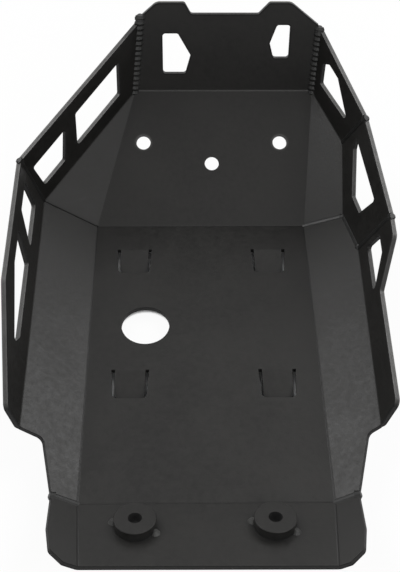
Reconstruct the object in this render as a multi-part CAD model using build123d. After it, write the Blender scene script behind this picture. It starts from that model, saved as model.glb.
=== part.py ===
from build123d import *
from math import atan2, cos, degrees, radians, sin, tan
import os

# Motorcycle skid plate: one sheet folded into a tray, closed by welded seams,
# with two turned spacers welded to the lip at its rear.
# Millimetres and degrees. X right, Y forward, Z up; the louvres stand on Z = 0.

# Sheet
SHEET = 4.0
BEND_R = 3.0
SEAM_GAP = 1.0
ORIGIN_FROM_REAR_FOLD = 184.0

# Floor, with the opening under the drain plug
FLOOR_W = 200.0
FLOOR_L = 304.0
DRAIN_D = 42.5
DRAIN_X = -51.0
DRAIN_FROM_FRONT_FOLD = 124.5

# Louvres pressed down out of the floor
LOUVRE_X = 63.0
LOUVRE_FROM_FRONT_FOLD = 31.0
LOUVRE_ROW_PITCH = 143.0
LOUVRE_L = 30.0
LOUVRE_W = 26.2
LOUVRE_END_W = 25.0
LOUVRE_CUT_W = 32.4
LOUVRE_CUT_END_W = 28.8
LOUVRE_SLIT = 2.8
LOUVRE_ANGLE = 14.0
LOUVRE_CORNER_R = 5.0

# Ramp
RAMP_L = 135.0
RAMP_FOLD = 36.0
RAMP_LEFT_TAPER = 36.5
RAMP_RIGHT_FLARE = 10.0
RAMP_HOLE_D = 13.8
RAMP_HOLE_X = 11.2
RAMP_HOLE_PITCH = 66.6
RAMP_OUTER_HOLE_RISE = 83.0
RAMP_MIDDLE_HOLE_RISE = 62.3

# Top wall; the right-hand sizes run from its right end
TOP_WALL_FOLD = 44.5
TOP_WALL_H = 90.6
TOP_LEFT_SHOULDER = 22.0
TOP_RIGHT_SHOULDER = 25.1
TOP_SHOULDER_R = 9.0
NOTCH_DEPTH = 11.1
NOTCH_LEFT = 48.5
NOTCH_RIGHT = 45.5
NOTCH_LEFT_SLOPE = 6.0
NOTCH_RIGHT_SLOPE = 10.0
NOTCH_R = 3.0

# Facets that turn up along both sides of the floor
FACET_FOLD = 30.0
LEFT_FACET_FRONT_W = 56.8
LEFT_FACET_REAR_W = 54.4
LEFT_SEAM_AHEAD = 6.0
LEFT_WALL_END = 54.0
RIGHT_FACET_FRONT_W = 51.9
RIGHT_FACET_REAR_W = 46.1
RIGHT_SEAM_BEHIND = 7.5
RIGHT_SEAM_W = 40.7
RIGHT_WALL_END = 56.2
LEFT_TAIL_STEP_W = 33.0
RIGHT_TAIL_STEP_W = 33.9
TAIL_STEP_SLANT = 3.5
LEFT_TAIL_END_W = 21.8
RIGHT_TAIL_END_W = 19.6
TAIL_FILLET_R = 7.0

# Side walls
LEFT_WALL_FOLD = 47.5
LEFT_WALL_H = 61.3
LEFT_WALL_LOW_H = 25.8
LEFT_WALL_SLOPE_END = 102.0
LEFT_SLOPE_R = 14.0
LEFT_FRONT_WALL_FOLD = 47.0
RIGHT_WALL_FOLD = 42.6
RIGHT_WALL_H = 61.8
RIGHT_WALL_LOW_H = 27.2
RIGHT_WALL_SLOPE_START = 40.0
RIGHT_WALL_SLOPE_END = 74.0
RIGHT_WALL_REAR_LEAN = 3.0
RIGHT_SLOPE_TOP_R = 8.0
RIGHT_SLOPE_FOOT_R = 4.0
RIGHT_FRONT_WALL_FOLD = 42.0
RIGHT_MID_WALL_FOLD = 42.3
RIGHT_MID_WALL_START = 54.5
RIGHT_MID_WALL_OUT = 35.7
WALL_CORNER_R = 6.0

# Seams, from the corner at their foot to the edge of the walls, or at the top to the side walls' own rim
TOP_LEFT_SEAM_L = 77.5
TOP_LEFT_RIM_L = 72.5
TOP_RIGHT_SEAM_L = 68.0
TOP_RIGHT_RIM_L = 65.7
LEFT_SEAM_L = 64.1
RIGHT_FRONT_SEAM_L = 48.5
RIGHT_REAR_SEAM_L = 64.5

# Windows: a sill lies this high over the fold, and a rail is left this wide over the window
WINDOW_R = 2.8

# Left window of the top wall, along the fold from its left end
TOP_LEFT_SILL = 18.5
TOP_LEFT_RAIL = 30.4
TOP_LEFT_WINDOW_X = 27.6
TOP_LEFT_WINDOW_W = 21.8
TOP_LEFT_HEAD_W = 14.5
TOP_LEFT_TIP_W = 26.8
TOP_LEFT_TIP_H = 19.0

# Right window of the top wall, along the fold from its right end
TOP_RIGHT_SILL = 34.7
TOP_RIGHT_RAIL = 21.9
TOP_RIGHT_WINDOW_X = 25.0
TOP_RIGHT_WINDOW_W = 14.6
TOP_RIGHT_HEAD_W = 12.4
TOP_RIGHT_TIP_W = 18.7
TOP_RIGHT_TIP_H = 15.3

# Windows of the left wall, along the fold from its front corner
LEFT_SILL = 18.7
LEFT_RAIL = 13.3
FORE_WINDOW_X = 24.4
FORE_WINDOW_W = 55.0
FORE_HEAD_W = 35.6
AFT_WINDOW_X = 98.4
AFT_WINDOW_W = 82.6
AFT_WINDOW_LEAN = 14.4
AFT_HEAD_W = 39.0
AFT_TIP_W = 95.2
AFT_TIP_H = 9.7

# Windows of the left front wall, along the fold from its rear corner
LEFT_FRONT_SILL = 14.8
SMALL_WINDOW_RAIL = 17.2
SMALL_WINDOW_X = 10.6
SMALL_WINDOW_W = 30.7
SMALL_HEAD_W = 48.3
LARGE_WINDOW_RAIL = 14.0
LARGE_WINDOW_X = 60.0
LARGE_WINDOW_W = 66.6
LARGE_WINDOW_LEAN = 15.0

# Window of the right wall, along the fold from its front corner
RIGHT_SILL = 15.8
RIGHT_RAIL = 22.0
RIGHT_WINDOW_X = 11.7
RIGHT_WINDOW_W = 57.3
RIGHT_HEAD_X = 19.6
RIGHT_HEAD_W = 20.7

# Window of the right middle wall, along the fold from its front corner
MID_SILL_X = 12.4
MID_SILL_H = 23.2
MID_REAR_SILL_X = 57.6
MID_REAR_SILL_H = 19.6
MID_REAR_X = 76.2
MID_REAR_H = 33.9
MID_TOP_X = 71.1
MID_TOP_H = 65.0
MID_TIP_X = 2.2
MID_TIP_H = 29.5

# Window of the right front wall, along the fold from its front corner
RIGHT_FRONT_WINDOW_X = 5.8
RIGHT_FRONT_SILL = 17.3
RIGHT_FRONT_TIP_X = 59.0
RIGHT_FRONT_TIP_H = 21.8
RIGHT_FRONT_HEAD_H = 44.9
RIGHT_FRONT_HEAD_W = 16.8
RIGHT_FRONT_CUT_W = 8.4
RIGHT_FRONT_CUT_H = 36.6

# Lip bent up behind the floor
LIP_LEFT_L = 63.2
LIP_RIGHT_L = 64.8
LIP_FOLD = 15.5
LIP_REAR_W = 189.0
LIP_FACET_FOLD = 30.0
LEFT_LIP_FACET_W = 24.5
RIGHT_LIP_FACET_W = 22.3
LIP_SHOULDER_L = 30.0
LIP_SHOULDER_R = 20.0
LIP_NARROWING = 2.2
LIP_CHAMFER_L = 8.0
LIP_CHAMFER_W = 10.9
LIP_CHAMFER_R = 5.0
LIP_END_R = 2.5

# Spacers, their bolt holes and the tacks that hold them
SPACER_D = 32.6
SPACER_H = 8.0
SPACER_CHAMFER = 0.5
SPACER_PITCH = 105.9
SPACER_PAIR_X = -1.6
SPACER_FROM_FOLD = 23.4
BOLT_HOLE_D = 10.8
TACK_R = 3.8
TACK_H = 2.8
TACK_TAPER = 35.0
TACK_OUT = 1.0
TACK_ANGLES = (-12.0, 153.0)

# Weld beads
BEAD_R = 3.4
BEAD_CAP = 1.0
BEAD_ROOT = 0.8
BEAD_OVERRUN = 1.7
BEAD_BEVEL = 1.2
INNER_BEAD_R = 5.0
INNER_BEAD_FOOT = 4.5
CORNER_BEAD_H = 2.5
FLAT_BEAD_H = 1.0
RIPPLE_PITCH = 5.2
RIPPLE_H = 1.1
LUMP_L = 4.5
LUMP_H = 0.9
LUMP_TAPER = 12.0
WELD_SIDES = 14


def setback(angle):
    """Length of sheet that a bend takes from each panel beside it."""
    return BEND_R * tan(radians(angle) / 2)


def folded_panel(start, end, parent, angle):
    """Inner face of a panel bent up from its parent along a line, which has the panel on its left."""
    along = (end - start).normalized()
    normal = parent.z_dir.rotate(Axis((0, 0, 0), along), angle)
    return Plane(start, x_dir=along, z_dir=normal)


def panel_through(start, end, tip):
    """Inner face of a panel that has a fold line and one more corner given."""
    return Plane(start, x_dir=end - start, z_dir=(end - start).cross(tip - start))


def on(plane, x, y):
    """Point in space of a place on a panel's inner face."""
    return plane.from_local_coords(Vector(x, y, 0))


def seam_end(start, first, second, length):
    """Far end of the seam between two panels."""
    up = first.z_dir.cross(second.z_dir).normalized()
    if up.Z < 0:
        up = up * -1
    return start + up * length


def meet(first, second, third):
    """Corner in which three inner faces meet."""
    planes = (first, second, third)
    reach = [plane.z_dir.dot(plane.origin) for plane in planes]
    a, b, c = [plane.z_dir for plane in planes]
    total = b.cross(c) * reach[0] + c.cross(a) * reach[1] + a.cross(b) * reach[2]
    return total * (1 / a.dot(b.cross(c)))


def inset(outline, margins):
    """Outline whose sides have each moved in by a margin of their own."""
    sides = []
    for start, end, margin in zip(outline, outline[1:] + outline[:1], margins):
        along = (end - start).normalized()
        sides.append((start + Vector(-along.Y, along.X) * margin, along))
    corners = []
    for (p, d), (q, e) in zip(sides[-1:] + sides[:-1], sides):
        corners.append(p + d * ((q - p).cross(e).Z / d.cross(e).Z))
    return corners


def window(*points):
    """Rounded opening in a panel."""
    face = make_face(Polyline(*points, close=True))
    return fillet(face.vertices(), WINDOW_R)


def hole(x, y, diameter):
    """Round opening in a panel."""
    return Pos(x, y) * Circle(diameter / 2)


class Panel:
    """Flat panel of the sheet. The first side of a folded panel is its fold line."""

    def __init__(self, plane, outline, margins, rounds=(), cuts=()):
        self.plane = plane
        flat = [plane.to_local_coords(point) for point in outline]
        self.corners = inset(flat, margins)
        face = make_face(Polyline(*self.corners, close=True))
        for index, radius in rounds:
            corner = face.vertices().sort_by_distance(self.corners[index])[0]
            face = fillet(corner, radius)
        for cut in cuts:
            face -= cut
        self.solid = extrude(plane * face, amount=-SHEET)

    def nearest(self, point):
        """Corner of the panel beside a point, in space."""
        spots = [self.plane.from_local_coords(corner) for corner in self.corners]
        return min(spots, key=lambda spot: (spot - point).length)


def bend(parent, child):
    """Rolled strip of sheet between a panel and the one it is folded up from."""
    plane = child.plane
    angle = parent.plane.z_dir.get_angle(plane.z_dir)
    ends = [plane.to_local_coords(parent.nearest(on(plane, corner.X, 0))).X for corner in child.corners[:2]]
    start = max(child.corners[0].X, ends[0])
    length = min(child.corners[1].X, ends[1]) - start
    edge = Plane(on(plane, start, setback(angle)), x_dir=plane.x_dir, z_dir=plane.y_dir)
    strip = edge * Rectangle(length, SHEET, align=(Align.MIN, Align.MIN))
    centre = plane.from_local_coords(Vector(start, setback(angle), BEND_R))
    return revolve(strip, Axis(centre, plane.x_dir * -1), angle)


def louvre_plan(width, end_width, length):
    """Outline of a louvre from above, with its hinge line on the X axis."""
    front = width / 2
    end = end_width / 2
    face = make_face(Polyline((-front, 0), (front, 0), (end, -length), (-end, -length), close=True))
    return fillet(face.vertices().sort_by(Axis.Y)[:2], LOUVRE_CORNER_R)


def louvre_tab(x, y):
    """Tab of sheet bent down from its hinge line, open to the rear."""
    hinge = on(floor_plane, x, y)
    turn = Axis((hinge.X, hinge.Y, floor_z - SHEET - BEND_R), (1, 0, 0))
    edge = Plane(hinge, x_dir=(1, 0, 0), z_dir=(0, -1, 0))
    strip = edge * Rectangle(LOUVRE_W, SHEET, align=(Align.CENTER, Align.MAX))
    rolled = revolve(strip, turn, LOUVRE_ANGLE)
    flat = extrude(strip.rotate(turn, LOUVRE_ANGLE), amount=louvre_straight)
    plan = louvre_plan(LOUVRE_W, LOUVRE_END_W, LOUVRE_L - LOUVRE_SLIT)
    outline = extrude(Pos(hinge.X, hinge.Y) * plan, amount=floor_z)
    return (rolled + flat) & outline


def spacer_ring():
    """Turned spacer, standing on the XY plane."""
    ring = Cylinder(SPACER_D / 2, SPACER_H, align=(Align.CENTER, Align.CENTER, Align.MIN))
    ring -= Cylinder(BOLT_HOLE_D / 2, SPACER_H, align=(Align.CENTER, Align.CENTER, Align.MIN))
    rim = ring.edges().group_by(Axis.Z)[-1].sort_by(SortBy.LENGTH)[-1]
    return chamfer(rim, SPACER_CHAMFER)


def tack():
    """Small heap of weld metal, standing on the XY plane."""
    return extrude(RegularPolygon(TACK_R, WELD_SIDES), amount=TACK_H, taper=TACK_TAPER)


def bar(start, length, radius, taper):
    """Stretch of weld metal along the X axis, with many flat sides."""
    foot = Plane((start, 0, 0), x_dir=(0, 1, 0), z_dir=(1, 0, 0))
    return extrude(foot * RegularPolygon(radius, WELD_SIDES), amount=length, taper=taper)


def plain_bead(start, end, radius):
    """Smooth bar of weld metal along the X axis, bevelled at its far end."""
    shoulder = end - BEAD_BEVEL
    return bar(start, shoulder - start, radius, 0) + bar(shoulder, BEAD_BEVEL, radius, 45)


def rippled_bead(start, end, radius):
    """Bar of weld metal along the X axis, laid as a row of ripples, each thickest at its middle."""
    count = max(1, round((end - start) / RIPPLE_PITCH))
    step = (end - start) / count
    flare = degrees(atan2(RIPPLE_H, step / 2))
    rise = bar(0, step / 2, radius, -flare)
    ripple = rise + mirror(rise, about=Plane.YZ.offset(step / 2))
    return Part() + [Pos(start + number * step, 0, 0) * ripple for number in range(count)]


def weld(start, end, first, second, inner_h):
    """Weld metal of a seam: a bead outside and one of some height inside, rippled in a corner."""
    along = end - start
    outward = (first.z_dir + second.z_dir).normalized() * -1
    half_angle = radians(first.z_dir.get_angle(second.z_dir)) / 2
    frame = Plane(start, x_dir=along, z_dir=outward)
    room = 2 * (along.length + BEAD_R)
    inside = frame * Pos(0, 0, BEAD_ROOT) * Box(room, room, room, align=(Align.CENTER, Align.CENTER, Align.MAX))
    far = along.length + BEAD_OVERRUN
    outer_top = SHEET * cos(half_angle) + BEAD_CAP
    metal = frame * Pos(0, 0, outer_top - BEAD_R) * plain_bead(-BEAD_OVERRUN, far, BEAD_R) - inside
    if inner_h > 0:
        shape = rippled_bead if inner_h >= CORNER_BEAD_H else plain_bead
        inner = shape(-INNER_BEAD_FOOT, far, INNER_BEAD_R)
        inner += bar(far - LUMP_L, LUMP_L, INNER_BEAD_R + LUMP_H, LUMP_TAPER)
        metal += (frame * Pos(0, 0, INNER_BEAD_R - inner_h) * inner) & inside
    return metal


# Heights and corners of the floor's inner face
louvre_straight = LOUVRE_L - LOUVRE_SLIT
louvre_sink = louvre_straight * sin(radians(LOUVRE_ANGLE)) - BEND_R * cos(radians(LOUVRE_ANGLE))
floor_z = SHEET + BEND_R + louvre_sink
rear_y = -ORIGIN_FROM_REAR_FOLD
front_y = rear_y + FLOOR_L
half_w = FLOOR_W / 2
rear_left = Vector(-half_w, rear_y, floor_z)
front_left = Vector(-half_w, front_y, floor_z)
front_right = Vector(half_w, front_y, floor_z)
rear_right = Vector(half_w, rear_y, floor_z)

# Inner faces of the panels, each folded up from the one before it
floor_plane = Plane(rear_left, x_dir=(1, 0, 0), z_dir=(0, 0, 1))
ramp_plane = folded_panel(front_left, front_right, floor_plane, RAMP_FOLD)
ramp_top_left = on(ramp_plane, RAMP_LEFT_TAPER, RAMP_L)
ramp_top_right = on(ramp_plane, FLOOR_W + RAMP_RIGHT_FLARE, RAMP_L)
top_plane = folded_panel(ramp_top_left, ramp_top_right, ramp_plane, TOP_WALL_FOLD)

left_facet_plane = folded_panel(rear_left, front_left, floor_plane, FACET_FOLD)
left_corner = on(left_facet_plane, FLOOR_L + LEFT_SEAM_AHEAD, LEFT_FACET_FRONT_W)
left_wall_rear = on(left_facet_plane, LEFT_WALL_END, LEFT_FACET_REAR_W)
left_plane = folded_panel(left_wall_rear, left_corner, left_facet_plane, LEFT_WALL_FOLD)
left_ramp_plane = panel_through(front_left, ramp_top_left, left_corner)
left_front_plane = folded_panel(left_corner, ramp_top_left, left_ramp_plane, LEFT_FRONT_WALL_FOLD)

right_facet_plane = folded_panel(front_right, rear_right, floor_plane, FACET_FOLD)
right_seam_end = on(right_facet_plane, RIGHT_SEAM_BEHIND, RIGHT_SEAM_W)
right_wall_front = on(right_facet_plane, 0, RIGHT_FACET_FRONT_W)
right_wall_rear = on(right_facet_plane, FLOOR_L - RIGHT_WALL_END, RIGHT_FACET_REAR_W)
right_fold_plane = folded_panel(right_wall_front, right_wall_rear, right_facet_plane, RIGHT_WALL_FOLD)
right_ramp_plane = panel_through(ramp_top_right, front_right, right_seam_end)
right_mid_corner = on(right_ramp_plane, RIGHT_MID_WALL_START, RIGHT_MID_WALL_OUT)
right_front_plane = folded_panel(ramp_top_right, right_mid_corner, right_ramp_plane, RIGHT_FRONT_WALL_FOLD)
right_mid_plane = folded_panel(right_mid_corner, right_seam_end, right_ramp_plane, RIGHT_MID_WALL_FOLD)
right_corner = meet(right_facet_plane, right_mid_plane, right_fold_plane)
right_plane = Plane(right_corner, x_dir=right_fold_plane.x_dir, z_dir=right_fold_plane.z_dir)

lip_plane = folded_panel(rear_right, rear_left, floor_plane, LIP_FOLD)
lip_rear_right = on(lip_plane, half_w - LIP_REAR_W / 2, LIP_RIGHT_L)
lip_rear_left = on(lip_plane, half_w + LIP_REAR_W / 2, LIP_LEFT_L)
left_lip_plane = folded_panel(lip_rear_left, rear_left, lip_plane, LIP_FACET_FOLD)
right_lip_plane = folded_panel(rear_right, lip_rear_right, lip_plane, LIP_FACET_FOLD)

# Ends of the seams at the edge of the sheet
top_left_end = seam_end(ramp_top_left, top_plane, left_front_plane, TOP_LEFT_SEAM_L)
top_left_rim = seam_end(ramp_top_left, top_plane, left_front_plane, TOP_LEFT_RIM_L)
top_right_end = seam_end(ramp_top_right, top_plane, right_front_plane, TOP_RIGHT_SEAM_L)
top_right_rim = seam_end(ramp_top_right, top_plane, right_front_plane, TOP_RIGHT_RIM_L)
left_end = seam_end(left_corner, left_front_plane, left_plane, LEFT_SEAM_L)
right_front_end = seam_end(right_mid_corner, right_front_plane, right_mid_plane, RIGHT_FRONT_SEAM_L)
right_rear_end = seam_end(right_corner, right_mid_plane, right_plane, RIGHT_REAR_SEAM_L)
rear_left_end = seam_end(rear_left, left_facet_plane, left_lip_plane, LEFT_TAIL_END_W)
rear_right_end = seam_end(rear_right, right_facet_plane, right_lip_plane, RIGHT_TAIL_END_W)

# Sheet that the bends and seams take from the panels
seam = SEAM_GAP / 2
facet_back = setback(FACET_FOLD)
ramp_back = setback(RAMP_FOLD)
top_back = setback(TOP_WALL_FOLD)
left_ramp_back = setback(ramp_plane.z_dir.get_angle(left_ramp_plane.z_dir))
right_ramp_back = setback(ramp_plane.z_dir.get_angle(right_ramp_plane.z_dir))
left_back = setback(LEFT_WALL_FOLD)
left_front_back = setback(LEFT_FRONT_WALL_FOLD)
right_back = setback(RIGHT_WALL_FOLD)
right_front_back = setback(RIGHT_FRONT_WALL_FOLD)
right_mid_back = setback(RIGHT_MID_WALL_FOLD)
lip_back = setback(LIP_FOLD)
lip_facet_back = setback(LIP_FACET_FOLD)

# Floor
louvre_rows = (FLOOR_L - LOUVRE_FROM_FRONT_FOLD, FLOOR_L - LOUVRE_FROM_FRONT_FOLD - LOUVRE_ROW_PITCH)
louvre_places = [(half_w + side * LOUVRE_X, row) for side in (-1, 1) for row in louvre_rows]
louvre_cut = louvre_plan(LOUVRE_CUT_W, LOUVRE_CUT_END_W, LOUVRE_L)
drain = hole(half_w + DRAIN_X, FLOOR_L - DRAIN_FROM_FRONT_FOLD, DRAIN_D)
floor = Panel(
    floor_plane,
    [rear_left, rear_right, front_right, front_left],
    [lip_back, facet_back, ramp_back, facet_back],
    cuts=[drain] + [Pos(x, y) * louvre_cut for x, y in louvre_places],
)

# Ramp with its three holes, and the facets beside it
ramp_hole_x = half_w + RAMP_HOLE_X
ramp = Panel(
    ramp_plane,
    [front_left, front_right, ramp_top_right, ramp_top_left],
    [ramp_back, right_ramp_back, top_back, left_ramp_back],
    cuts=[
        hole(ramp_hole_x - RAMP_HOLE_PITCH, RAMP_OUTER_HOLE_RISE, RAMP_HOLE_D),
        hole(ramp_hole_x + RAMP_HOLE_PITCH, RAMP_OUTER_HOLE_RISE, RAMP_HOLE_D),
        hole(ramp_hole_x, RAMP_MIDDLE_HOLE_RISE, RAMP_HOLE_D),
    ],
)
left_ramp_facet = Panel(
    left_ramp_plane,
    [front_left, ramp_top_left, left_corner],
    [left_ramp_back, left_front_back, seam],
)
right_ramp_facet = Panel(
    right_ramp_plane,
    [ramp_top_right, front_right, right_seam_end, right_mid_corner],
    [right_ramp_back, seam, right_mid_back, right_front_back],
)

# Top wall with its notch and two windows
top_w = FLOOR_W + RAMP_RIGHT_FLARE - RAMP_LEFT_TAPER
notch_left = NOTCH_LEFT + NOTCH_LEFT_SLOPE
notch_right = top_w - NOTCH_RIGHT - NOTCH_RIGHT_SLOPE
notch_floor = TOP_WALL_H - NOTCH_DEPTH
left_head = TOP_WALL_H - TOP_LEFT_RAIL
right_head = TOP_WALL_H - TOP_RIGHT_RAIL
right_side = top_w - TOP_RIGHT_WINDOW_X
top_wall = Panel(
    top_plane,
    [
        ramp_top_left,
        ramp_top_right,
        top_right_end,
        on(top_plane, top_w - TOP_RIGHT_SHOULDER, TOP_WALL_H),
        on(top_plane, top_w - NOTCH_RIGHT, TOP_WALL_H),
        on(top_plane, notch_right, notch_floor),
        on(top_plane, notch_left, notch_floor),
        on(top_plane, NOTCH_LEFT, TOP_WALL_H),
        on(top_plane, TOP_LEFT_SHOULDER, TOP_WALL_H),
        top_left_end,
    ],
    [top_back, seam, 0, 0, 0, 0, 0, 0, 0, seam],
    rounds=[(3, TOP_SHOULDER_R), (4, NOTCH_R), (5, NOTCH_R), (6, NOTCH_R), (7, NOTCH_R), (8, TOP_SHOULDER_R)],
    cuts=[
        window(
            (TOP_LEFT_WINDOW_X, TOP_LEFT_SILL),
            (TOP_LEFT_WINDOW_X + TOP_LEFT_WINDOW_W, TOP_LEFT_SILL),
            (TOP_LEFT_WINDOW_X + TOP_LEFT_TIP_W, TOP_LEFT_SILL + TOP_LEFT_TIP_H),
            (TOP_LEFT_WINDOW_X + TOP_LEFT_HEAD_W, left_head),
            (TOP_LEFT_WINDOW_X, left_head),
        ),
        window(
            (right_side - TOP_RIGHT_WINDOW_W, TOP_RIGHT_SILL),
            (right_side, TOP_RIGHT_SILL),
            (right_side, right_head),
            (right_side - TOP_RIGHT_HEAD_W, right_head),
            (right_side - TOP_RIGHT_TIP_W, TOP_RIGHT_SILL + TOP_RIGHT_TIP_H),
        ),
    ],
)

# Left side: facet, wall and front wall
left_facet = Panel(
    left_facet_plane,
    [
        rear_left,
        front_left,
        left_corner,
        left_wall_rear,
        on(left_facet_plane, LEFT_WALL_END - TAIL_STEP_SLANT, LEFT_TAIL_STEP_W),
        rear_left_end,
    ],
    [facet_back, seam, left_back, 0, 0, seam],
    rounds=[(4, TAIL_FILLET_R)],
)
left_w = (left_corner - left_wall_rear).length
left_window_head = LEFT_WALL_H - LEFT_RAIL
fore_side = left_w - FORE_WINDOW_X
aft_side = left_w - AFT_WINDOW_X
left_wall = Panel(
    left_plane,
    [
        left_wall_rear,
        left_corner,
        left_end,
        on(left_plane, LEFT_WALL_SLOPE_END, LEFT_WALL_H),
        on(left_plane, 0, LEFT_WALL_LOW_H),
    ],
    [left_back, seam, 0, 0, 0],
    rounds=[(3, LEFT_SLOPE_R), (4, WALL_CORNER_R)],
    cuts=[
        window(
            (fore_side - FORE_WINDOW_W, LEFT_SILL),
            (fore_side, LEFT_SILL),
            (fore_side, left_window_head),
            (fore_side - FORE_HEAD_W, left_window_head),
        ),
        window(
            (aft_side - AFT_WINDOW_W, LEFT_SILL),
            (aft_side, LEFT_SILL),
            (aft_side + AFT_WINDOW_LEAN, left_window_head),
            (aft_side + AFT_WINDOW_LEAN - AFT_HEAD_W, left_window_head),
            (aft_side - AFT_TIP_W, LEFT_SILL + AFT_TIP_H),
        ),
    ],
)
left_front_h = min(left_front_plane.to_local_coords(point).Y for point in (left_end, top_left_rim))
small_head = left_front_h - SMALL_WINDOW_RAIL
large_head = left_front_h - LARGE_WINDOW_RAIL
left_front_wall = Panel(
    left_front_plane,
    [left_corner, ramp_top_left, top_left_rim, left_end],
    [left_front_back, seam, 0, seam],
    cuts=[
        window(
            (SMALL_WINDOW_X, LEFT_FRONT_SILL),
            (SMALL_WINDOW_X + SMALL_WINDOW_W, LEFT_FRONT_SILL),
            (SMALL_WINDOW_X + SMALL_HEAD_W, small_head),
            (SMALL_WINDOW_X, small_head),
        ),
        window(
            (LARGE_WINDOW_X, LEFT_FRONT_SILL),
            (LARGE_WINDOW_X + LARGE_WINDOW_W, LEFT_FRONT_SILL),
            (LARGE_WINDOW_X + LARGE_WINDOW_W + LARGE_WINDOW_LEAN, large_head),
            (LARGE_WINDOW_X + LARGE_WINDOW_LEAN, large_head),
        ),
    ],
)

# Right side: facet, wall, middle wall and front wall
right_facet = Panel(
    right_facet_plane,
    [
        front_right,
        rear_right,
        rear_right_end,
        on(right_facet_plane, FLOOR_L - RIGHT_WALL_END + TAIL_STEP_SLANT, RIGHT_TAIL_STEP_W),
        right_wall_rear,
        right_corner,
        right_seam_end,
    ],
    [facet_back, seam, 0, 0, right_back, seam, seam],
    rounds=[(3, TAIL_FILLET_R)],
)
right_w = (right_wall_rear - right_corner).length
right_window_head = RIGHT_WALL_H - RIGHT_RAIL
right_wall = Panel(
    right_plane,
    [
        right_corner,
        right_wall_rear,
        on(right_plane, right_w - RIGHT_WALL_REAR_LEAN, RIGHT_WALL_LOW_H),
        on(right_plane, RIGHT_WALL_SLOPE_END, RIGHT_WALL_LOW_H),
        on(right_plane, RIGHT_WALL_SLOPE_START, RIGHT_WALL_H),
        right_rear_end,
    ],
    [right_back, 0, 0, 0, 0, seam],
    rounds=[(2, WALL_CORNER_R), (3, RIGHT_SLOPE_FOOT_R), (4, RIGHT_SLOPE_TOP_R)],
    cuts=[
        window(
            (RIGHT_WINDOW_X, RIGHT_SILL),
            (RIGHT_WINDOW_X + RIGHT_WINDOW_W, RIGHT_SILL),
            (RIGHT_HEAD_X + RIGHT_HEAD_W, right_window_head),
            (RIGHT_HEAD_X, right_window_head),
        ),
    ],
)
right_mid_wall = Panel(
    right_mid_plane,
    [right_mid_corner, right_seam_end, right_corner, right_rear_end, right_front_end],
    [right_mid_back, seam, seam, 0, seam],
    cuts=[
        window(
            (MID_SILL_X, MID_SILL_H),
            (MID_REAR_SILL_X, MID_REAR_SILL_H),
            (MID_REAR_X, MID_REAR_H),
            (MID_TOP_X, MID_TOP_H),
            (MID_TIP_X, MID_TIP_H),
        ),
    ],
)
right_front_wall = Panel(
    right_front_plane,
    [ramp_top_right, right_mid_corner, right_front_end, top_right_rim],
    [right_front_back, seam, 0, seam],
    cuts=[
        window(
            (RIGHT_FRONT_WINDOW_X, RIGHT_FRONT_SILL),
            (RIGHT_FRONT_TIP_X, RIGHT_FRONT_TIP_H),
            (RIGHT_FRONT_WINDOW_X + RIGHT_FRONT_HEAD_W, RIGHT_FRONT_HEAD_H),
            (RIGHT_FRONT_WINDOW_X, RIGHT_FRONT_HEAD_H),
            (RIGHT_FRONT_WINDOW_X - RIGHT_FRONT_CUT_W, RIGHT_FRONT_CUT_H),
        ),
    ],
)

# Lip with its bolt holes, and the facets at its ends
spacer_places = {
    "left": (half_w - SPACER_PAIR_X + SPACER_PITCH / 2, SPACER_FROM_FOLD),
    "right": (half_w - SPACER_PAIR_X - SPACER_PITCH / 2, SPACER_FROM_FOLD),
}
lip = Panel(
    lip_plane,
    [rear_right, rear_left, lip_rear_left, lip_rear_right],
    [lip_back, lip_facet_back, 0, lip_facet_back],
    cuts=[hole(x, y, BOLT_HOLE_D) for x, y in spacer_places.values()],
)
left_lip_end_w = LEFT_LIP_FACET_W - LIP_NARROWING
right_lip_end_w = RIGHT_LIP_FACET_W - LIP_NARROWING
left_lip_facet = Panel(
    left_lip_plane,
    [
        lip_rear_left,
        rear_left,
        rear_left_end,
        on(left_lip_plane, LIP_SHOULDER_L, LEFT_LIP_FACET_W),
        on(left_lip_plane, LIP_CHAMFER_L, left_lip_end_w),
        on(left_lip_plane, 0, left_lip_end_w - LIP_CHAMFER_W),
    ],
    [lip_facet_back, seam, 0, 0, 0, 0],
    rounds=[(3, LIP_SHOULDER_R), (4, LIP_CHAMFER_R), (5, LIP_END_R)],
)
right_lip_side = (lip_rear_right - rear_right).length
right_lip_facet = Panel(
    right_lip_plane,
    [
        rear_right,
        lip_rear_right,
        on(right_lip_plane, right_lip_side, right_lip_end_w - LIP_CHAMFER_W),
        on(right_lip_plane, right_lip_side - LIP_CHAMFER_L, right_lip_end_w),
        on(right_lip_plane, right_lip_side - LIP_SHOULDER_L, RIGHT_LIP_FACET_W),
        rear_right_end,
    ],
    [lip_facet_back, 0, 0, 0, 0, seam],
    rounds=[(2, LIP_END_R), (3, LIP_CHAMFER_R), (4, LIP_SHOULDER_R)],
)

# The folded sheet: panels joined by their bends, with the louvres
folds = [
    (floor, ramp),
    (ramp, top_wall),
    (floor, left_facet),
    (floor, right_facet),
    (floor, lip),
    (ramp, left_ramp_facet),
    (ramp, right_ramp_facet),
    (left_facet, left_wall),
    (left_ramp_facet, left_front_wall),
    (right_facet, right_wall),
    (right_ramp_facet, right_front_wall),
    (right_ramp_facet, right_mid_wall),
    (lip, left_lip_facet),
    (lip, right_lip_facet),
]
skid_plate = floor.solid
for place in louvre_places:
    skid_plate += louvre_tab(*place)
for parent, child in folds:
    skid_plate += bend(parent, child)
    skid_plate += child.solid

# Spacers on the lip, each held by two tacks
pieces = {"skid_plate": skid_plate}
for side, (x, y) in spacer_places.items():
    seat = lip_plane * Pos(x, y)
    pieces["spacer_" + side] = seat * spacer_ring()
    for number, angle in enumerate(TACK_ANGLES, 1):
        lump = seat * Rot(0, 0, angle) * Pos(SPACER_D / 2 + TACK_OUT, 0) * tack()
        pieces[f"tack_weld_{side}_{number}"] = lump - skid_plate - pieces["spacer_" + side]

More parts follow.
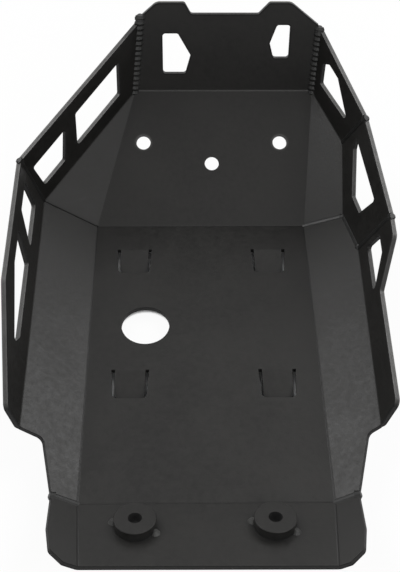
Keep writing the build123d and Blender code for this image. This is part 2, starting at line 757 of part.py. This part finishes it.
# Beads along the seams, laid one after another
beads = [
    ("weld_top_left", ramp_top_left, top_left_end, top_plane, left_front_plane, CORNER_BEAD_H),
    ("weld_top_right", ramp_top_right, top_right_rim, top_plane, right_front_plane, CORNER_BEAD_H),
    ("weld_side_left", left_corner, left_end, left_front_plane, left_plane, FLAT_BEAD_H),
    ("weld_side_right_front", right_mid_corner, right_front_end, right_front_plane, right_mid_plane, FLAT_BEAD_H),
    ("weld_side_right_rear", right_corner, right_rear_end, right_mid_plane, right_plane, FLAT_BEAD_H),
    ("weld_floor_left", front_left, left_corner, left_facet_plane, left_ramp_plane, 0),
    ("weld_floor_right", front_right, right_seam_end, right_facet_plane, right_ramp_plane, FLAT_BEAD_H),
    ("weld_sill_right", right_seam_end, right_corner, right_facet_plane, right_mid_plane, FLAT_BEAD_H),
    ("weld_rear_left", rear_left, rear_left_end, left_facet_plane, left_lip_plane, FLAT_BEAD_H),
    ("weld_rear_right", rear_right, rear_right_end, right_facet_plane, right_lip_plane, FLAT_BEAD_H),
]
laid = []
for name, start, end, first, second, inner_h in beads:
    metal = weld(start, end, first, second, inner_h) - skid_plate
    for other in laid:
        if metal.bounding_box().overlaps(other.bounding_box()):
            metal -= other
    pieces[name] = metal.solids().sort_by(SortBy.VOLUME)[-1]
    laid.append(pieces[name])

os.makedirs("parts", exist_ok=True)
for name, piece in pieces.items():
    export_step(piece, f"parts/{name}.step")
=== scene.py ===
import bpy
from math import radians
from mathutils import Euler, Matrix, Vector

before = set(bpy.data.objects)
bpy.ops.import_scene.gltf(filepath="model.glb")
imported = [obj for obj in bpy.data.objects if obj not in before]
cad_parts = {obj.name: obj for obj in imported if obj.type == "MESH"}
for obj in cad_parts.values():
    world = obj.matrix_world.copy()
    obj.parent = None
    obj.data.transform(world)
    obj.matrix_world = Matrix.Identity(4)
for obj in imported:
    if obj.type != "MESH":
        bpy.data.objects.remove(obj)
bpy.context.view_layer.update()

# Lengths are in metres, angles in degrees, colours linear. A fade is where it starts and where it ends.

# Camera of the photograph; lens and sensor in millimetres
CAMERA_PLACE = (-0.0185, -0.5991, 0.7231)
CAMERA_PITCH = 48.0
CAMERA_YAW = 1.49
CAMERA_ROLL = 0.87
CAMERA_LENS = 65.58
SENSOR_HEIGHT = 36.0

# Black powder coat: its darkest and lightest mottling on each kind of piece; on the rippled beads and
# the tacks the tones are lighter as a painted highlight
SHEET_TONES = (0.0065, 0.0062, 0.0057, 1), (0.0116, 0.0111, 0.0102, 1)
RIPPLED_BEAD_HIGHLIGHT_TONES = (0.013, 0.013, 0.0126, 1), (0.026, 0.026, 0.025, 1)
PLAIN_BEAD_TONES = (0.006, 0.006, 0.0058, 1), (0.011, 0.011, 0.0105, 1)
TACK_HIGHLIGHT_TONES = (0.035, 0.035, 0.034, 1), (0.07, 0.07, 0.068, 1)
COAT_ROUGHNESS = (0.38, 0.52)
COAT_SPECULAR = 0.28
DULLING = 0.4
COAT_SAMPLES = 8

# Mottling, orange peel and grain: scale and detail of each noise, and what they do to tone and sheen
CLOUD_NOISE = (16.0, 5.0)
PEEL_NOISE = (230.0, 2.0)
GRAIN_NOISE = (900.0, 2.0)
NOISE_ROUGHNESS = 0.55
TONE_CLOUD_SHARE = 0.55
TONE_FADE = (0.36, 0.64)
SHEEN_CLOUD_SHARE = 0.5
SHEEN_FADE = (0.35, 0.65)

# Bumps: strength and depth
FOLD_BUMP = (0.5, -0.0006)
PEEL_BUMP = (0.13, 0.0005)
GRAIN_BUMP = (0.25, 0.00015)

# The sheet's cut edges: a painted highlight, partly worn coat, where they face up on the side walls,
# lighter towards the front; painted shade where they face sideways
RIM_WEAR_AND_HIGHLIGHT_COLOUR = (0.105, 0.103, 0.1, 1)
EDGE_AND_FOLD_SHADE_COLOUR = (0.002, 0.002, 0.002, 1)
EDGE_REACH = 0.003
EDGE_FADE = (0.92, 0.62)
RIM_FACING_FADE = (0.1, 0.75)
CUT_FACING_FADE = (0.8, 0.4)
RIM_HEIGHT_FADE = (0.052, 0.058)
RIM_END_FADE = (0.228, 0.222)
RIM_FORWARD_FADE = (-0.05, 0.1)
RIM_FORWARD_SHARE = (0.7, 1.0)
WEAR_NOISE = (70.0, 4.0)
WEAR_FADE = (0.3, 0.62)
WEAR_SHARE = (0.6, 1.0)

# Painted shade in bores and tight corners, darker the more closed in they are
HOLLOW_SHADE_COLOUR = (0.002, 0.002, 0.002, 1)
HOLLOW_SHADE_REACH = 0.014
HOLLOW_SHADE_FADE = (0.75, 0.45)
SHEET_HOLLOW_SHADE_SHARE = 0.8
SPACER_HOLLOW_SHADE_SHARE = 1.0

# Fold lines on the inner face: corners of the panels, how dark the painted shade of each line is, and
# one fold with a painted highlight
FLOOR_HALF_WIDTH = 0.1
FLOOR_REAR = -0.184
FLOOR_FRONT = 0.12
FLOOR_LEVEL = 0.01067
REAR_LEFT = (-FLOOR_HALF_WIDTH, FLOOR_REAR, FLOOR_LEVEL)
REAR_RIGHT = (FLOOR_HALF_WIDTH, FLOOR_REAR, FLOOR_LEVEL)
FRONT_LEFT = (-FLOOR_HALF_WIDTH, FLOOR_FRONT, FLOOR_LEVEL)
FRONT_RIGHT = (FLOOR_HALF_WIDTH, FLOOR_FRONT, FLOOR_LEVEL)
LIP_LEFT = (-0.0945, -0.2449, 0.02756)
LIP_RIGHT = (0.0945, -0.2464, 0.02799)
RAMP_TOP_LEFT = (-0.0635, 0.22922, 0.09002)
RAMP_TOP_RIGHT = (0.11, 0.22922, 0.09002)
FOLD_SHADE_LINES = [
    (REAR_LEFT, LIP_LEFT, 0.8),
    (REAR_RIGHT, LIP_RIGHT, 0.8),
    (REAR_LEFT, REAR_RIGHT, 0.4),
    (FRONT_LEFT, FRONT_RIGHT, 0.7),
    (REAR_LEFT, FRONT_LEFT, 0.6),
    (REAR_RIGHT, FRONT_RIGHT, 0.6),
]
FOLD_HIGHLIGHT_LINE = (RAMP_TOP_LEFT, RAMP_TOP_RIGHT)
FOLD_HIGHLIGHT_COLOUR = (0.04, 0.0395, 0.038, 1)
FOLD_FADE = (0.0009, 0.00027)

# Studio
WHITE = (1, 1, 1, 1)
STUDIO_FLOOR_COLOUR = (0.9, 0.9, 0.9, 1)
STUDIO_FLOOR_SIZE = 30.0
STUDIO_FLOOR_SHOW = 0.94
# Painted contact shade: the floor's glow fades out where it is closely covered
CONTACT_SHADE_REACH = 0.02
CONTACT_SHADE_FADE = (0.27, 0.33)
CONTACT_SHADE_SAMPLES = 40
AMBIENT = 0.05

# Soft light from both sides, weaker from the front corners and from behind the camera: place and watts
LIGHT_SIZE = 1.3
LIGHTS = {
    "left_light": ((-1.58, 0.83, 1.61), 33.0),
    "right_light": ((1.55, 0.89, 1.61), 33.0),
    "front_left_light": ((-1.11, 1.93, 0.9), 5.0),
    "front_right_light": ((1.11, 1.93, 0.9), 3.5),
    "rear_right_light": ((1.1, -1.4, 1.61), 10.0),
    "rear_light": ((0, -2.23, 0.9), 12.5),
}


class Nodes:
    """Node tree of a material or world, built one node at a time."""

    def __init__(self, tree):
        self.tree = tree
        tree.nodes.clear()

    def add(self, kind, inputs=None, **settings):
        node = self.tree.nodes.new(kind)
        for name, value in settings.items():
            setattr(node, name, value)
        for name, value in (inputs or {}).items():
            self.set(node.inputs[name], value)
        return node

    def set(self, socket, value):
        if isinstance(value, bpy.types.NodeSocket):
            self.tree.links.new(value, socket)
        else:
            socket.default_value = value

    def math(self, operation, first, second, clamp=False):
        node = self.add("ShaderNodeMath", operation=operation, use_clamp=clamp)
        self.set(node.inputs[0], first)
        self.set(node.inputs[1], second)
        return node.outputs[0]

    def times(self, first, *others):
        for other in others:
            first = self.math("MULTIPLY", first, other)
        return first

    def vector(self, operation, *values):
        node = self.add("ShaderNodeVectorMath", operation=operation)
        for socket, value in zip(node.inputs, values):
            self.set(socket, value)
        return node.outputs["Value" if operation == "LENGTH" else "Vector"]

    def part(self, vector, axis):
        return self.add("ShaderNodeSeparateXYZ", {"Vector": vector}).outputs[axis]

    def noise(self, place, scale, detail):
        inputs = {"Vector": place, "Scale": scale, "Detail": detail, "Roughness": NOISE_ROUGHNESS}
        return self.add("ShaderNodeTexNoise", inputs).outputs["Fac"]

    def remap(self, value, low, high, new_low=0.0, new_high=1.0):
        node = self.add("ShaderNodeMapRange", {
            "Value": value,
            "From Min": low,
            "From Max": high,
            "To Min": new_low,
            "To Max": new_high,
        })
        return node.outputs["Result"]

    def blend(self, first, second, first_share):
        second_part = self.times(second, 1.0 - first_share)
        return self.math("ADD", self.times(first, first_share), second_part)

    def mix(self, factor, first, second):
        node = self.add("ShaderNodeMix", data_type="RGBA")
        self.set(node.inputs[0], factor)
        self.set(node.inputs[6], first)
        self.set(node.inputs[7], second)
        return node.outputs[2]

    def openness(self, reach, samples, **settings):
        settings["samples"] = samples
        return self.add("ShaderNodeAmbientOcclusion", {"Distance": reach}, **settings).outputs["AO"]

    def bump(self, height, strength, depth, below=None):
        inputs = {"Strength": strength, "Distance": depth, "Height": height}
        if below is not None:
            inputs["Normal"] = below
        return self.add("ShaderNodeBump", inputs).outputs["Normal"]


def near_line(n, place, start, end):
    """1 on the line through two points, fading to 0 at the width of a fold line."""
    along = (Vector(end) - Vector(start)).normalized()
    across = n.vector("CROSS_PRODUCT", n.vector("SUBTRACT", place, start), along)
    return n.remap(n.vector("LENGTH", across), *FOLD_FADE)


def cut_edges(n, place, colour):
    """Paints a highlight, partly worn coat, on the sheet's up-facing rims and shade on its sideways cut
    faces; also gives where the shade is.
    """
    openness = n.openness(EDGE_REACH, COAT_SAMPLES, inside=True, only_local=True)
    thin = n.remap(openness, *EDGE_FADE)
    facing = n.part(n.add("ShaderNodeNewGeometry").outputs["True Normal"], "Z")
    forward = n.part(place, "Y")
    # Painted highlight, partly worn coat, on rims that face up
    rim_wear_and_highlight = n.times(
        thin,
        n.remap(facing, *RIM_FACING_FADE),
        n.remap(n.part(place, "Z"), *RIM_HEIGHT_FADE),
        n.remap(forward, *RIM_FORWARD_FADE, *RIM_FORWARD_SHARE),
        n.remap(forward, *RIM_END_FADE),
        n.remap(n.noise(place, *WEAR_NOISE), *WEAR_FADE, *WEAR_SHARE),
    )
    # Painted shade on cut faces that face sideways
    cut_shade = n.times(thin, n.remap(facing, *CUT_FACING_FADE))
    return n.mix(cut_shade, n.mix(rim_wear_and_highlight, colour, RIM_WEAR_AND_HIGHLIGHT_COLOUR), EDGE_AND_FOLD_SHADE_COLOUR), cut_shade


def fold_lines(n, place, colour):
    """Paints shade along the dark fold lines and a highlight along the pale one; also gives where the
    shade is.
    """
    fold_shade = 0.0
    for start, end, share in FOLD_SHADE_LINES:
        fold_shade = n.math("MAXIMUM", n.times(near_line(n, place, start, end), share), fold_shade)
    fold_highlight = near_line(n, place, *FOLD_HIGHLIGHT_LINE)
    return n.mix(fold_highlight, n.mix(fold_shade, colour, EDGE_AND_FOLD_SHADE_COLOUR), FOLD_HIGHLIGHT_COLOUR), fold_shade


def coat(name, tones, hollow_shade_share=0.0, sheet=False):
    """Black powder coat with fine grain and faint mottling, dull and with painted shade in hollows and
    on cut edges; on the sheet also painted shade and highlight along folds and a painted highlight on
    rims.
    """
    material = bpy.data.materials.new(name)
    material.use_nodes = True
    n = Nodes(material.node_tree)
    place = n.add("ShaderNodeTexCoord").outputs["Object"]
    clouds = n.noise(place, *CLOUD_NOISE)
    peel = n.noise(place, *PEEL_NOISE)
    tone = n.blend(clouds, peel, TONE_CLOUD_SHARE)
    colour = n.mix(n.remap(tone, *TONE_FADE), *tones)

    dull = 0.0
    normal = None
    if sheet:
        colour, dull = cut_edges(n, place, colour)
        colour, fold_shade = fold_lines(n, place, colour)
        normal = n.bump(fold_shade, *FOLD_BUMP)
    # Painted shade in hollows: darker where the coat is closed in
    if hollow_shade_share:
        openness = n.openness(HOLLOW_SHADE_REACH, COAT_SAMPLES)
        hollow_shade = n.times(n.remap(openness, *HOLLOW_SHADE_FADE), hollow_shade_share)
        colour = n.mix(hollow_shade, colour, HOLLOW_SHADE_COLOUR)
        dull = n.math("MAXIMUM", hollow_shade, dull)
    normal = n.bump(peel, *PEEL_BUMP, normal)
    normal = n.bump(n.noise(place, *GRAIN_NOISE), *GRAIN_BUMP, normal)

    sheen = n.blend(clouds, peel, SHEEN_CLOUD_SHARE)
    roughness = n.remap(sheen, *SHEEN_FADE, *COAT_ROUGHNESS)
    shader = n.add("ShaderNodeBsdfPrincipled", {
        "Base Color": colour,
        "Roughness": n.math("ADD", roughness, n.times(dull, DULLING), clamp=True),
        "Normal": normal,
        "Specular IOR Level": COAT_SPECULAR,
    })
    n.add("ShaderNodeOutputMaterial", {"Surface": shader.outputs["BSDF"]})
    return material


def dress(prefix, material):
    """Gives the CAD nodes whose names start with the prefix their material."""
    for name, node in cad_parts.items():
        if name.startswith(prefix):
            node.data.materials.clear()
            node.data.materials.append(material)


def seen(n):
    """1 for the rays that show a surface as it is: camera, glossy and transmission rays."""
    path = n.add("ShaderNodeLightPath")
    shown = n.math("MAXIMUM", path.outputs["Is Camera Ray"], path.outputs["Is Glossy Ray"])
    return n.math("MAXIMUM", shown, path.outputs["Is Transmission Ray"])


def softbox(name, place, power):
    """Large soft area light, aimed at the origin and not seen by the camera."""
    light = bpy.data.lights.new(name, "AREA")
    light.size = LIGHT_SIZE
    light.energy = power
    lamp = bpy.data.objects.new(name, light)
    lamp.location = place
    lamp.visible_camera = False
    lamp.rotation_euler = (-Vector(place)).to_track_quat("-Z", "Y").to_euler()
    bpy.context.collection.objects.link(lamp)


# Materials: the two beads in the top corners are rippled, the other beads plain; the sheet carries
# painted shade and highlight, the spacers painted shade in their bores, the rippled beads and tacks
# painted highlight in their lighter tones
dress("skid_plate", coat("sheet_coat", SHEET_TONES, SHEET_HOLLOW_SHADE_SHARE, sheet=True))
dress("spacer", coat("ring_coat", SHEET_TONES, SPACER_HOLLOW_SHADE_SHARE))
dress("weld", coat("seam_coat", PLAIN_BEAD_TONES))
dress("weld_top", coat("weld_coat", RIPPLED_BEAD_HIGHLIGHT_TONES))
dress("tack", coat("tack_coat", TACK_HIGHLIGHT_TONES))

# Floor: pale and lit, shown nearly white by a glow, with the object's shadow left on it; the glow is
# taken out where the floor is closely covered, a painted contact shade
bpy.ops.mesh.primitive_plane_add(size=STUDIO_FLOOR_SIZE)
floor = bpy.context.object
floor.name = "studio_floor"
paper = bpy.data.materials.new("floor_paper")
paper.use_nodes = True
n = Nodes(paper.node_tree)
lit = n.add("ShaderNodeBsdfDiffuse", {"Color": STUDIO_FLOOR_COLOUR})
shine = n.add("ShaderNodeEmission", {"Color": WHITE, "Strength": 1.0})
contact = n.openness(CONTACT_SHADE_REACH, CONTACT_SHADE_SAMPLES)
share = n.times(seen(n), n.remap(contact, *CONTACT_SHADE_FADE, 0.0, STUDIO_FLOOR_SHOW))
blend = n.add("ShaderNodeMixShader", {"Fac": share})
n.set(blend.inputs[1], lit.outputs["BSDF"])
n.set(blend.inputs[2], shine.outputs["Emission"])
n.add("ShaderNodeOutputMaterial", {"Surface": blend.outputs["Shader"]})
floor.data.materials.append(paper)

# White surround, dimmer as a light than as a backdrop
world = bpy.data.worlds.new("studio")
world.use_nodes = True
bpy.context.scene.world = world
n = Nodes(world.node_tree)
strength = n.remap(seen(n), 0.0, 1.0, AMBIENT, 1.0)
surround = n.add("ShaderNodeBackground", {"Color": WHITE, "Strength": strength})
n.add("ShaderNodeOutputWorld", {"Surface": surround.outputs["Background"]})

for name, (place, power) in LIGHTS.items():
    softbox(name, place, power)

# Camera of the photograph
camera_data = bpy.data.cameras.new("camera")
camera_data.sensor_fit = "VERTICAL"
camera_data.sensor_height = SENSOR_HEIGHT
camera_data.lens = CAMERA_LENS
camera = bpy.data.objects.new("camera", camera_data)
turn = Euler((radians(90 - CAMERA_PITCH), 0, radians(-CAMERA_YAW))).to_matrix()
turn = turn @ Matrix.Rotation(radians(CAMERA_ROLL), 3, "Z")
camera.matrix_world = Matrix.Translation(CAMERA_PLACE) @ turn.to_4x4()
bpy.context.collection.objects.link(camera)
bpy.context.scene.camera = camera
bpy.context.scene.view_settings.view_transform = "Standard"
